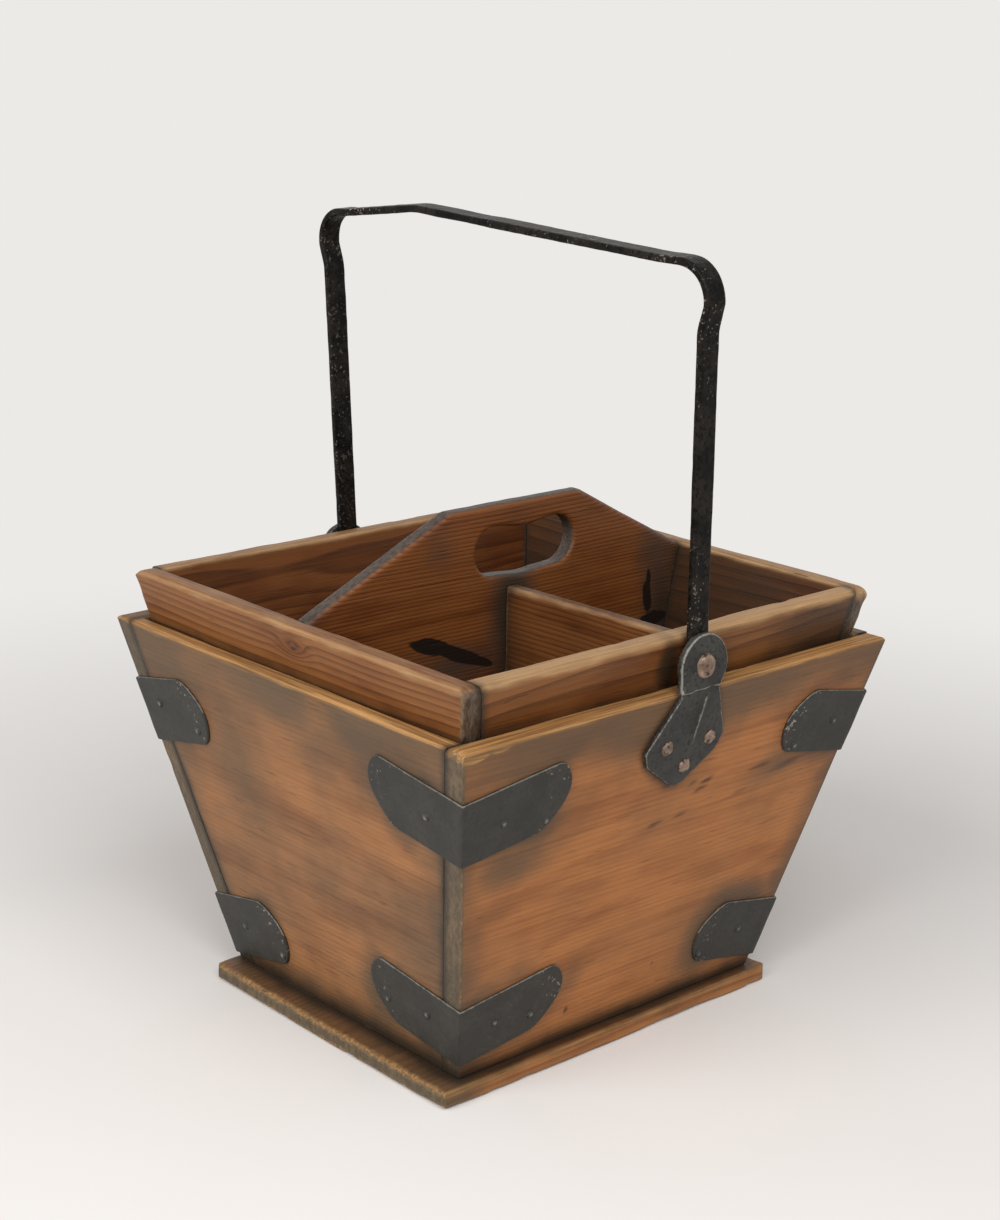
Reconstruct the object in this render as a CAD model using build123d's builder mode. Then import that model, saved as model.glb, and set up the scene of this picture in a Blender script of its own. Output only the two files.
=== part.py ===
import os
from math import hypot, radians, cos, sin

from build123d import *

# Housemaid's box: a splayed wooden box with iron corner straps, a lift-out
# tray with a gabled carrying divider, and an iron bail that swings on rivets.
# Millimetres. X runs along the front, Y goes to the back, Z is up, and the
# origin is on the floor under the middle of the rim.

# Box
rim_length = 356.0
rim_width = 341.0
rim_height = 244.0
foot_length = 252.0
foot_width = 223.0
long_board = 15.0
end_board = 12.2
rim_round = 3.5

# Base board, and how far it stands out past the foot of the box
base_thickness = 11.5
base_left = 18.5
base_right = 13.0
base_front = 9.0
base_back = 4.5
base_round = 4.5
base_corner = 5.0

# Tray, and how far it stands above the rim
tray_rise = 32.0
tray_depth = 92.0
tray_wall = 13.5
tray_floor_thickness = 8.0
tray_round = 6.0
tray_inner_round = 2.5
tray_end_gap = 1.5
tray_side_gap = 2.0
bearer_width = 14.0
bearer_depth = 16.0

# Divider of the tray, with its hand hole
divider_thickness = 12.0
divider_rise = 49.0
divider_drop = 1.0
gable_length = 110.0
gable_shift = 8.0
divider_round = 3.5
hole_length = 84.0
hole_height = 31.5
hole_shift = 15.5
hole_top_wood = 14.0
hole_dip = 3.0
hole_bow = 1.8
hole_round = 2.5

# Partition of the tray's front half
partition_thickness = 10.0
partition_shift = 4.0
partition_low = 8.0
partition_drop = 2.0
partition_round = 3.0

# Corner straps
strap_thickness = 1.6
strap_width = 43.0
strap_upper_drop = 54.0
strap_lower_rise = 32.0
strap_long_leg = 77.0
strap_rise = 0.15
strap_tip_back = 5.0
strap_round_back = 22.0
strap_down_leg = 68.0
strap_down_rise = 0.22
strap_down_tip_back = 9.0
strap_down_round_back = 16.0
strap_front_right_drop = 3.0
strap_back_left_drop = 7.5
strap_corner = 4.0
strap_fold_round = 2.0

# Handle: a flat iron bar bent to a bail
bar_width = 14.8
bar_thickness = 4.8
bar_round = 1.4
bail_pivot_x = 6.5
bail_pivot_rise = 14.0
bail_inset = 5.2
bail_lean = 2.3
bail_height = 243.0
bail_shoulder = 197.0
bail_shoulder_out = 4.5
bail_bulge = 211.0
bail_bulge_out = 9.0
bail_dip = 9.0
bail_front_kink_in = 29.0
bail_peak_in = 87.8
bail_back_kink_in = 16.2
bail_foot_bend = 20.0
bail_joggle_bend = 8.0
bail_front_bend = 21.5
bail_kink_bend = 20.0
bail_peak_bend = 60.0
bail_back_bend = 20.0
eye_radius = 10.0

# Handle brackets and their rivets
bracket_thickness = 3.0
ear_radius = 19.5
neck_width = 32.0
neck_drop = 2.5
neck_rise = 3.0
plate_offset = 6.0
plate_shoulder = 32.0
plate_shoulder_width = 66.0
plate_waist = 42.0
plate_waist_width = 58.0
plate_length = 60.0
plate_tip_width = 8.0
plate_round = 4.0
rivet_radius = 4.0
rivet_head_radius = 7.5
rivet_head_height = 3.6
rivet_head_round = 3.2
rivet_tail_radius = 7.0
rivet_tail_height = 2.0
bearing_clearance = 0.06
rivet_seat_clearance = 0.05
face_clearance = 0.3

# Worked out from the sizes above
wall_height = rim_height - base_thickness
run_x = (rim_length - foot_length) / 2 / wall_height
run_y = (rim_width - foot_width) / 2 / wall_height
long_reach = long_board * hypot(1, run_y)
end_reach = end_board * hypot(1, run_x)
tray_height = rim_height + tray_rise
tray_low = tray_height - tray_depth
tray_end_inset = end_reach + tray_end_gap
tray_side_inset = long_reach + tray_side_gap
tray_end_wall = tray_wall * hypot(1, run_x)
tray_side_wall = tray_wall * hypot(1, run_y)
divider_height = tray_height + divider_rise
divider_end_height = tray_height - divider_drop
bail_leg = rim_width / 2 - bail_inset
bail_pivot_height = rim_height + bail_pivot_rise
span = 2 * rim_length
cut_past = base_thickness


def half_x(z, inset=0.0):
    return foot_length / 2 + run_x * (z - base_thickness) - inset


def half_y(z, inset=0.0):
    return foot_width / 2 + run_y * (z - base_thickness) - inset


# Corners of a board's splayed section on one side, between two insets
def board_section(side, half, low, high, outer, inner):
    levels = ((low, outer), (high, outer), (high, inner), (low, inner))
    return [(side * half(z, inset), z) for z, inset in levels]


# Corners of the upright trapezium that all boards of one direction end on. As a cutter it
# reaches past the top and bottom of what it cuts.
def end_section(half, low, high, inset, past=0.0):
    right = [(half(z, inset), z) for z in (low - past, high + past)]
    left = [(-half(z, inset), z) for z in (high + past, low - past)]
    return right + left


def save(piece, name):
    piece.part.label = name
    export_step(piece.part, f"parts/{name}.step")


os.makedirs("parts", exist_ok=True)

# Outside of a sheet of the straps' thickness round the whole box, and the box as one solid:
# the straps are cut from what lies between
strap_reach_x = strap_thickness * hypot(1, run_x)
strap_reach_y = strap_thickness * hypot(1, run_y)
with BuildPart() as strap_outside:
    with BuildSketch(Plane.YZ):
        Polygon(*end_section(half_y, base_thickness, rim_height, -strap_reach_y), align=None)
    extrude(amount=span, both=True)
    with BuildSketch(Plane.XZ):
        points = end_section(half_x, base_thickness, rim_height, -strap_reach_x, cut_past)
        Polygon(*points, align=None)
    extrude(amount=span, both=True, mode=Mode.INTERSECT)
    fillet(strap_outside.edges().filter_by(Plane.XY, reverse=True), strap_fold_round)
with BuildPart() as whole_box:
    for z in (base_thickness - cut_past, rim_height + cut_past):
        with BuildSketch(Plane.XY.offset(z)):
            Rectangle(2 * half_x(z), 2 * half_y(z))
    loft(ruled=True)

# Base board
base_length = base_left + foot_length + base_right
base_width = base_front + foot_width + base_back
base_x = (base_right - base_left) / 2
base_y = (base_back - base_front) / 2
with BuildPart() as base_board:
    with BuildSketch():
        with Locations((base_x, base_y)):
            RectangleRounded(base_length, base_width, base_corner)
    extrude(amount=base_thickness)
    top = base_board.faces().sort_by(Axis.Z)[-1]
    bottom = base_board.faces().sort_by(Axis.Z)[0]
    fillet(top.edges() + bottom.edges(), base_round)
save(base_board, "base_board")

# Front and back boards run the full length of the box
for side, name in ((-1, "front_board"), (1, "back_board")):
    with BuildPart() as long_side:
        with BuildSketch(Plane.YZ) as section:
            points = board_section(side, half_y, base_thickness, rim_height, 0, long_reach)
            Polygon(*points, align=None)
            fillet(section.vertices().group_by(Axis.Y)[-1], rim_round)
        extrude(amount=span, both=True)
        with BuildSketch(Plane.XZ):
            Polygon(*end_section(half_x, base_thickness, rim_height, 0, cut_past), align=None)
        extrude(amount=span, both=True, mode=Mode.INTERSECT)
    save(long_side, name)

# Left and right boards butt between them, with the tray's bearers inside
bearer_low = tray_low - bearer_depth
bearer_inner = end_reach + bearer_width
for side, name in ((-1, "left"), (1, "right")):
    with BuildPart() as end_side:
        with BuildSketch(Plane.XZ) as section:
            points = board_section(side, half_x, base_thickness, rim_height, 0, end_reach)
            Polygon(*points, align=None)
            fillet(section.vertices().group_by(Axis.Y)[-1], rim_round)
        extrude(amount=span, both=True)
        with BuildSketch(Plane.YZ):
            points = end_section(half_y, base_thickness, rim_height, long_reach, cut_past)
            Polygon(*points, align=None)
        extrude(amount=span, both=True, mode=Mode.INTERSECT)
    save(end_side, f"{name}_board")

    with BuildPart() as bearer:
        with BuildSketch(Plane.XZ):
            points = board_section(side, half_x, bearer_low, tray_low, end_reach, bearer_inner)
            Polygon(*points, align=None)
        extrude(amount=span, both=True)
        with BuildSketch(Plane.YZ):
            points = end_section(half_y, bearer_low, tray_low, long_reach, cut_past)
            Polygon(*points, align=None)
        extrude(amount=span, both=True, mode=Mode.INTERSECT)
    save(bearer, f"tray_bearer_{name}")

# Left and right tray walls run the full width of the tray
for side, name in ((-1, "tray_left"), (1, "tray_right")):
    with BuildPart() as tray_end:
        with BuildSketch(Plane.XZ) as section:
            inner = tray_end_inset + tray_end_wall
            points = board_section(side, half_x, tray_low, tray_height, tray_end_inset, inner)
            Polygon(*points, align=None)
            fillet(section.vertices().group_by(Axis.Y)[-1].sort_by(Axis.X)[::side][-1], tray_round)
            fillet(section.vertices().group_by(Axis.Y)[-1].sort_by(Axis.X)[::side][0], tray_inner_round)
        extrude(amount=span, both=True)
        with BuildSketch(Plane.YZ):
            points = end_section(half_y, tray_low, tray_height, tray_side_inset, cut_past)
            Polygon(*points, align=None)
        extrude(amount=span, both=True, mode=Mode.INTERSECT)
    save(tray_end, name)

# Front and back tray walls butt between them
for side, name in ((-1, "tray_front"), (1, "tray_back")):
    with BuildPart() as tray_side:
        with BuildSketch(Plane.YZ) as section:
            inner = tray_side_inset + tray_side_wall
            points = board_section(side, half_y, tray_low, tray_height, tray_side_inset, inner)
            Polygon(*points, align=None)
            fillet(section.vertices().group_by(Axis.Y)[-1].sort_by(Axis.X)[::side][-1], tray_round)
            fillet(section.vertices().group_by(Axis.Y)[-1].sort_by(Axis.X)[::side][0], tray_inner_round)
        extrude(amount=span, both=True)
        with BuildSketch(Plane.XZ):
            inset = tray_end_inset + tray_end_wall
            points = end_section(half_x, tray_low, tray_height, inset, cut_past)
            Polygon(*points, align=None)
        extrude(amount=span, both=True, mode=Mode.INTERSECT)
    save(tray_side, name)

# Tray floor, let in between the four walls
floor_high = tray_low + tray_floor_thickness
inside_x = tray_end_inset + tray_end_wall
inside_y = tray_side_inset + tray_side_wall
with BuildPart() as tray_floor:
    with BuildSketch(Plane.YZ):
        Polygon(*end_section(half_y, tray_low, floor_high, inside_y), align=None)
    extrude(amount=span, both=True)
    with BuildSketch(Plane.XZ):
        Polygon(*end_section(half_x, tray_low, floor_high, inside_x, cut_past), align=None)
    extrude(amount=span, both=True, mode=Mode.INTERSECT)
save(tray_floor, "tray_floor")

# Tray divider: gabled, with a hand hole whose upper edge dips to the fingers
gable_left = gable_shift - gable_length / 2
gable_right = gable_shift + gable_length / 2
hole_high = divider_height - hole_top_wood
hole_low = hole_high - hole_height
hole_mid = (hole_high + hole_low) / 2
hole_end = hole_length / 2
hole_flat = hole_end - hole_height / 2
with BuildPart() as tray_divider:
    with BuildSketch(Plane.XZ):
        Polygon(
            (-half_x(floor_high, inside_x), floor_high),
            (half_x(floor_high, inside_x), floor_high),
            (half_x(divider_end_height, inside_x), divider_end_height),
            (gable_right, divider_height),
            (gable_left, divider_height),
            (-half_x(divider_end_height, inside_x), divider_end_height),
            align=None,
        )
    extrude(amount=divider_thickness / 2, both=True)
    upper_faces = tray_divider.faces().filter_by(lambda face: face.normal_at().Z > 0.5)
    fillet(upper_faces.edges().filter_by(Axis.Y, reverse=True), divider_round)
    with BuildSketch(Plane.XZ):
        with BuildLine():
            upper_left = (hole_shift - hole_flat, hole_high)
            upper_right = (hole_shift + hole_flat, hole_high)
            lower_left = (hole_shift - hole_flat, hole_low)
            lower_right = (hole_shift + hole_flat, hole_low)
            dip = (hole_shift, hole_high - hole_dip)
            bow = (hole_shift, hole_low - hole_bow)
            Spline(upper_left, dip, upper_right, tangents=((1, 0), (1, 0)))
            ThreePointArc(upper_right, (hole_shift + hole_end, hole_mid), lower_right)
            Spline(lower_right, bow, lower_left, tangents=((-1, 0), (-1, 0)))
            ThreePointArc(lower_left, (hole_shift - hole_end, hole_mid), upper_left)
        make_face()
    extrude(amount=divider_thickness, both=True, mode=Mode.SUBTRACT)
    hole_edges = tray_divider.edges(Select.LAST)
    fillet(hole_edges.filter_by(Axis.Y, reverse=True), hole_round)
save(tray_divider, "tray_divider")

# Partition across the tray's front half, its top rising to the front wall
partition_foot = divider_height - hole_top_wood - hole_height - partition_low
partition_top = tray_height - partition_drop
with BuildPart() as tray_partition:
    with BuildSketch(Plane.YZ.offset(partition_shift - partition_thickness / 2)):
        Polygon(
            (-divider_thickness / 2, floor_high),
            (-divider_thickness / 2, partition_foot),
            (-half_y(partition_top, inside_y), partition_top),
            (-half_y(floor_high, inside_y), floor_high),
            align=None,
        )
    extrude(amount=partition_thickness)
    top_face = tray_partition.faces().sort_by(Axis.Z)[-1]
    long_edges = top_face.edges().filter_by(Axis.X, reverse=True)
    fillet(long_edges, partition_round)
save(tray_partition, "tray_partition")


# A point of a strap's leg on its face, measured from the corner and across the leg
def leg_point(along, level, rise, slope, flip):
    return along - slope * level, flip * (level + rise * along)


# Folded iron straps at the four corners, an upper and a lower row
corners = (
    ("front_left", -1, -1, 0),
    ("front_right", 1, -1, strap_front_right_drop),
    ("back_left", -1, 1, strap_back_left_drop),
    ("back_right", 1, 1, 0),
)
rows = (("upper", rim_height - strap_upper_drop), ("lower", base_thickness + strap_lower_rise))
half = strap_width / 2
fold_past = 1.5 * strap_thickness
up_shape = (strap_long_leg, strap_rise, strap_tip_back, strap_round_back)
down_shape = (strap_down_leg, strap_down_rise, strap_down_tip_back, strap_down_round_back)
for corner, side_x, side_y, drop in corners:
    tip_up = side_x == side_y
    leg, rise, tip_back, round_back = up_shape if tip_up else down_shape
    tip, mid, foot = (half, 0, -half) if tip_up else (-half, 0, half)
    for row, row_height in rows:
        height = row_height - drop
        origin = (side_x * half_x(height), side_y * half_y(height), height)
        long_plane = Plane(origin, x_dir=(-side_x, 0, 0), z_dir=(0, side_y, -run_y))
        end_plane = Plane(origin, x_dir=(0, -side_y, 0), z_dir=(side_x, 0, -run_x))
        legs = (
            (long_plane, run_x / hypot(1, run_y), side_x * side_y),
            (end_plane, run_y / hypot(1, run_x), -side_x * side_y),
        )
        with BuildPart() as strap:
            for plane, slope, flip in legs:
                fold_edge = [leg_point(-fold_past, level, rise, slope, flip) for level in (foot, tip)]
                end_tip = leg_point(leg - tip_back, tip, rise, slope, flip)
                end_mid = leg_point(leg, mid, rise, slope, flip)
                end_foot = leg_point(leg - round_back, foot, rise, slope, flip)
                with BuildSketch(plane) as leg_outline:
                    with BuildLine():
                        Polyline(end_foot, *fold_edge, end_tip)
                        ThreePointArc(end_tip, end_mid, end_foot)
                    make_face()
                    fillet(leg_outline.vertices().sort_by(Axis.X)[-2:], strap_corner)
                extrude(amount=2 * fold_past, both=True)
            add(strap_outside.part, mode=Mode.INTERSECT)
            add(whole_box.part, mode=Mode.SUBTRACT)
        save(strap, f"strap_{row}_{corner}")

# Bail: a flat bar bent in its own plane, with a flattened eye at each foot
lean = radians(bail_lean)
bail_plane = Plane(
    (bail_pivot_x, 0, bail_pivot_height),
    x_dir=(0, 1, 0),
    z_dir=(cos(lean), 0, sin(lean)),
)
leg_straight = 2 * eye_radius
low_bar = bail_height - bail_dip
bail_path = (
    (-bail_leg, 0),
    (-bail_leg, leg_straight),
    (-bail_leg - bail_shoulder_out, bail_shoulder),
    (-bail_leg - bail_bulge_out, bail_bulge),
    (-bail_leg - bail_bulge_out, low_bar),
    (-bail_leg + bail_front_kink_in, low_bar),
    (bail_leg - bail_peak_in, bail_height),
    (bail_leg - bail_back_kink_in, low_bar),
    (bail_leg + bail_bulge_out, low_bar),
    (bail_leg + bail_bulge_out, bail_bulge),
    (bail_leg + bail_shoulder_out, bail_shoulder),
    (bail_leg, leg_straight),
    (bail_leg, 0),
)
leg_bends = (bail_foot_bend, bail_foot_bend, bail_joggle_bend)
top_bends = (bail_front_bend, bail_kink_bend, bail_peak_bend, bail_kink_bend, bail_back_bend)
bail_bends = leg_bends + top_bends + leg_bends[::-1]
with BuildPart() as bail_handle:
    with BuildLine(bail_plane) as bail_line:
        FilletPolyline(*bail_path, radius=bail_bends)
    foot_plane = Plane(bail_line.line @ 0, x_dir=bail_plane.z_dir, z_dir=bail_line.line % 0)
    with BuildSketch(foot_plane):
        RectangleRounded(bar_width, bar_thickness, bar_round)
    sweep()
    for side in (-1, 1):
        eye_plane = Plane.XZ.offset(-side * bail_leg - bar_thickness / 2)
        with BuildSketch(eye_plane):
            with Locations((bail_pivot_x, bail_pivot_height)):
                Circle(eye_radius)
        extrude(amount=bar_thickness)
    with BuildSketch(Plane.XZ):
        with Locations((bail_pivot_x, bail_pivot_height)):
            Circle(rivet_radius + bearing_clearance)
    extrude(amount=span, both=True, mode=Mode.SUBTRACT)
save(bail_handle, "bail_handle")

# Brackets: a bent strip whose ear stands above the rim and whose spade-shaped
# plate lies on the board, and the rivets that the bail turns on
ear_inner = bail_leg + bar_thickness / 2 + face_clearance
ear_outer = ear_inner + bracket_thickness
ear_high = bail_pivot_height + ear_radius
plate_reach = bracket_thickness * hypot(1, run_y)
neck_low = rim_height - neck_drop
neck_high = rim_height + neck_rise
plate_low = neck_low - plate_length
strip = (
    (half_y(plate_low), plate_low),
    (half_y(neck_low), neck_low),
    (ear_inner, neck_high),
    (ear_inner, ear_high),
    (ear_outer, ear_high),
    (ear_outer, neck_high),
    (half_y(neck_low, -plate_reach), neck_low),
    (half_y(plate_low, -plate_reach), plate_low),
)
neck_middle = bail_pivot_x - plate_offset / 2
plate_middle = bail_pivot_x - plate_offset
spade = (
    (neck_middle, neck_width / 2, bail_pivot_height),
    (neck_middle, neck_width / 2, neck_low),
    (plate_middle, plate_shoulder_width / 2, neck_low - plate_shoulder),
    (plate_middle, plate_waist_width / 2, neck_low - plate_waist),
    (plate_middle, plate_tip_width / 2, plate_low),
)
spade_right = [(middle + half, z) for middle, half, z in spade]
spade_left = [(middle - half, z) for middle, half, z in reversed(spade)]
tail_face = bail_leg - bar_thickness / 2 - face_clearance
tail_end = tail_face - rivet_tail_height
rivet_steps = (
    (tail_end, rivet_tail_radius, rivet_tail_height),
    (tail_face, rivet_radius, ear_outer - tail_face),
    (ear_outer, rivet_head_radius, rivet_head_height),
)
for side, name in ((-1, "front"), (1, "back")):
    with BuildPart() as bracket:
        with BuildSketch(Plane.YZ.offset(bail_pivot_x)):
            Polygon(*[(side * y, z) for y, z in strip], align=None)
        extrude(amount=plate_shoulder_width, both=True)
        with BuildSketch(Plane.XZ) as bracket_outline:
            Polygon(*spade_right, *spade_left, align=None)
            low_corners = bracket_outline.vertices().group_by(Axis.Y)[:-1]
            fillet([v for level in low_corners for v in level], plate_round)
            with Locations((bail_pivot_x, bail_pivot_height)):
                Circle(ear_radius)
                Circle(rivet_radius + rivet_seat_clearance, mode=Mode.SUBTRACT)
        extrude(amount=span, both=True, mode=Mode.INTERSECT)
    save(bracket, f"bracket_{name}")

    with BuildPart() as rivet:
        for face, radius, height in rivet_steps:
            origin = (bail_pivot_x, side * face, bail_pivot_height)
            with BuildSketch(Plane(origin, z_dir=(0, side, 0))):
                Circle(radius)
            extrude(amount=height)
        head_face = rivet.faces().sort_by(Axis.Y)[-1 if side > 0 else 0]
        fillet(head_face.edges(), rivet_head_round)
    save(rivet, f"pivot_rivet_{name}")
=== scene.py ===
import math

import bmesh
import bpy
import numpy as np
from mathutils import Matrix, Vector
from mathutils.bvhtree import BVHTree


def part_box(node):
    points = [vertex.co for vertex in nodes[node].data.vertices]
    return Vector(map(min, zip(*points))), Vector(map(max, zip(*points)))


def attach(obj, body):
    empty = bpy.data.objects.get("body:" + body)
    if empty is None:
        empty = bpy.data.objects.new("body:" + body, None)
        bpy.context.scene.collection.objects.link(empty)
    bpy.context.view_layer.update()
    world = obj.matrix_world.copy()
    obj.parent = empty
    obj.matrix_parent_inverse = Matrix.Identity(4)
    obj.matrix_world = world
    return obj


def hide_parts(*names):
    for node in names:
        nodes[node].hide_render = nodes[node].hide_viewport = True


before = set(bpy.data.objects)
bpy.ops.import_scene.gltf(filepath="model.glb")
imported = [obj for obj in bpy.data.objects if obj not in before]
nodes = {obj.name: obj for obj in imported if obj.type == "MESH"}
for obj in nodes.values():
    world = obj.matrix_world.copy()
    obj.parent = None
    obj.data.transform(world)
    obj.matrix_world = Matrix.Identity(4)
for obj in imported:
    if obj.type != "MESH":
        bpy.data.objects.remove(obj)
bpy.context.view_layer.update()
scene = bpy.context.scene
print("frame loaded with", len(nodes), "nodes")


# Noise and small mesh helpers

def fieldNoise(points, scale, seed):  # smooth noise from -1 to 1, the same on every run
    cells = 32
    table = np.random.default_rng(seed).uniform(-1, 1, (cells, cells, cells))
    place = np.asarray(points, float) * scale
    low = np.floor(place).astype(int)
    part = place - low
    part = part * part * (3 - 2 * part)
    total = np.zeros(len(place))
    for corner in np.ndindex(2, 2, 2):
        share = np.prod(np.where(np.array(corner) == 1, part, 1 - part), axis=1)
        i, j, k = ((low + corner) % cells).T
        total += share * table[i, j, k]
    return total


def smoothStep(value, low, high):
    t = np.clip((value - low) / (high - low), 0, 1)
    return t * t * (3 - 2 * t)


def meshPiece(name, points, faces):
    mesh = bpy.data.meshes.new(name)
    mesh.from_pydata([tuple(p) for p in points], [], [list(map(int, f)) for f in faces])
    mesh.polygons.foreach_set("use_smooth", np.ones(len(mesh.polygons), bool))
    mesh.update()
    piece = bpy.data.objects.new(name, mesh)
    scene.collection.objects.link(piece)
    return piece


def turnOutward(mesh):  # makes every face look out of its solid
    work = bmesh.new()
    work.from_mesh(mesh)
    bmesh.ops.recalc_face_normals(work, faces=work.faces)
    work.to_mesh(mesh)
    work.free()


def pointsOf(mesh):
    flat = np.zeros(len(mesh.vertices) * 3, np.float32)
    mesh.vertices.foreach_get("co", flat)
    return flat.reshape(-1, 3).astype(float)


def normalsOf(mesh):
    flat = np.zeros(len(mesh.vertices) * 3, np.float32)
    mesh.vertex_normals.foreach_get("vector", flat)
    return flat.reshape(-1, 3).astype(float)


def movePoints(mesh, points):
    mesh.vertices.foreach_set("co", points.astype(np.float32).ravel())
    mesh.update()


def tagPoints(piece, label, values):  # a number or a vector on each point, read by the materials
    vector = values.ndim == 2
    layer = piece.data.attributes.new(label, "FLOAT_VECTOR" if vector else "FLOAT", "POINT")
    layer.data.foreach_set("vector" if vector else "value", values.astype(np.float32).ravel())


def dress(piece, material, body, replaced):
    piece.data.materials.clear()
    piece.data.materials.append(material)
    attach(piece, body)
    if replaced:
        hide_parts(replaced)


# Measures read from the frame

def footOf(name):  # low x, high x, low y, high y of a node's lowest face
    points = pointsOf(nodes[name].data)
    foot = points[points[:, 2] < points[:, 2].min() + 1e-5]
    return foot[:, 0].min(), foot[:, 0].max(), foot[:, 1].min(), foot[:, 1].max()


def leanOf(name, axis):  # how far a board leans out for each metre that it rises
    faces = [f for f in nodes[name].data.polygons if abs(f.normal[axis]) > 0.5]
    widest = max(faces, key=lambda f: f.area)
    return abs(widest.normal.z / widest.normal[axis])


leanX = leanOf("left_board", 0)
leanY = leanOf("front_board", 1)
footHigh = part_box("front_board")[0].z
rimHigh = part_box("front_board")[1].z
footX = footOf("front_board")[1]
footY = -footOf("front_board")[2]


def halfX(z):
    return footX + leanX * (z - footHigh)


def halfY(z):
    return footY + leanY * (z - footHigh)


def treeOf(names):
    points, faces = [], []
    for name in names:
        mesh = nodes[name].data
        start = len(points)
        points += [v.co.copy() for v in mesh.vertices]
        faces += [[start + i for i in f.vertices] for f in mesh.polygons]
    return BVHTree.FromPolygons(points, faces)


def nearness(points, tree, reach):  # 1 where something touches, falling to 0 at the reach
    near = np.zeros(len(points))
    for i, point in enumerate(points):
        gap = tree.find_nearest(point, reach)[3]
        if gap is not None:
            near[i] = 1 - gap / reach
    return near


ironTree = treeOf([n for n in nodes if n.startswith(("strap_", "bracket_"))])
print("frame measured: lean", round(leanX, 3), round(leanY, 3))


# Node helpers

def put(tree, kind, sockets=None, **settings):
    node = tree.nodes.new("ShaderNode" + kind)
    for key, value in settings.items():
        setattr(node, key, value)
    for key, value in (sockets or {}).items():
        if isinstance(value, bpy.types.NodeSocket):
            tree.links.new(value, node.inputs[key])
        else:
            node.inputs[key].default_value = value
    return node


def calc(tree, operation, a, b=0.0, clamp=False):
    return put(tree, "Math", {0: a, 1: b}, operation=operation, use_clamp=clamp).outputs[0]


def ramp(tree, value, low, high, toLow=0.0, toHigh=1.0):
    sockets = {"Value": value, "From Min": low, "From Max": high, "To Min": toLow, "To Max": toHigh}
    return put(tree, "MapRange", sockets, interpolation_type="SMOOTHSTEP").outputs[0]


def tint(tree, share, a, b, mode="MIX"):
    sockets = {0: share, 6: a, 7: b}
    return put(tree, "Mix", sockets, data_type="RGBA", blend_type=mode).outputs[2]


def stretch(tree, vector, x, y, z):
    return put(tree, "VectorMath", {0: vector, 1: (x, y, z)}, operation="MULTIPLY").outputs[0]


def noise(tree, vector, scale=1.0, detail=2.0, roughness=0.5):
    sockets = {"Vector": vector, "Scale": scale, "Detail": detail, "Roughness": roughness}
    return put(tree, "TexNoise", sockets).outputs[0]


def readTag(tree, label):
    return put(tree, "Attribute", attribute_name=label).outputs["Fac"]


def newGroup(name, inputs, outputs):
    group = bpy.data.node_groups.new(name, "ShaderNodeTree")
    for label, kind, value in inputs:
        socket = group.interface.new_socket(label, in_out="INPUT", socket_type="NodeSocket" + kind)
        if value is not None:
            socket.default_value = value
    for label in outputs:
        group.interface.new_socket(label, in_out="OUTPUT", socket_type="NodeSocketFloat")
    return group, group.nodes.new("NodeGroupInput").outputs, group.nodes.new("NodeGroupOutput").inputs


def useGroup(tree, group, sockets):
    return put(tree, "Group", sockets, node_tree=group).outputs


# Pine: growth rings round a pith line along x, with fibres, blotches, flecks and long streaks
def pineGroup():
    inputs = [("Place", "Vector", None), ("Ring Size", "Float", 0.004), ("Wobble", "Float", 0.02)]
    group, given, out = newGroup("pineGrain", inputs, ["Ring", "Fibre", "Blotch", "Fleck", "Streak"])
    place = given["Place"]
    slow = noise(group, stretch(group, place, 2.2, 9, 9), detail=1.5)
    sway = calc(group, "MULTIPLY", calc(group, "SUBTRACT", slow, 0.5), given["Wobble"])
    quick = noise(group, stretch(group, place, 9, 60, 60), detail=1.0)
    sway = calc(group, "ADD", sway, calc(group, "MULTIPLY", quick, 0.0022))
    flat = stretch(group, place, 0, 1, 1)
    radius = put(group, "VectorMath", {0: flat}, operation="LENGTH").outputs["Value"]
    turn = calc(group, "FRACT", calc(group, "DIVIDE", calc(group, "ADD", radius, sway), given["Ring Size"]))
    late = calc(group, "POWER", turn, 2.0)
    ring = calc(group, "MULTIPLY", late, ramp(group, turn, 1.0, 0.86))
    links = group.links.new
    links(ring, out["Ring"])
    links(noise(group, stretch(group, place, 16, 520, 520), detail=4.0, roughness=0.6), out["Fibre"])
    links(noise(group, stretch(group, place, 10, 40, 40), detail=3.0, roughness=0.55), out["Blotch"])
    dash = noise(group, stretch(group, place, 45, 620, 620), detail=1.0)
    links(ramp(group, dash, 0.66, 0.76), out["Fleck"])
    line = noise(group, stretch(group, place, 5, 150, 150), detail=3.0, roughness=0.6)
    links(ramp(group, line, 0.52, 0.74), out["Streak"])
    return group


# Breaks a mask up with noise, for worn edges, for grime and for painted shade
def breakGroup():
    inputs = [("Mask", "Float", 0.0), ("Place", "Vector", None), ("Scale", "Float", 150.0),
              ("Ragged", "Float", 0.6), ("Start", "Float", 0.3), ("Full", "Float", 0.8)]
    group, given, out = newGroup("brokenMask", inputs, ["Mask"])
    rough = noise(group, given["Place"], given["Scale"], 4.0)
    lift = calc(group, "MULTIPLY", calc(group, "SUBTRACT", rough, 0.5), given["Ragged"])
    lift = calc(group, "MULTIPLY", lift, ramp(group, given["Mask"], 0.0, 0.25))
    value = calc(group, "ADD", given["Mask"], lift)
    group.links.new(ramp(group, value, given["Start"], given["Full"]), out["Mask"])
    return group


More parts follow.
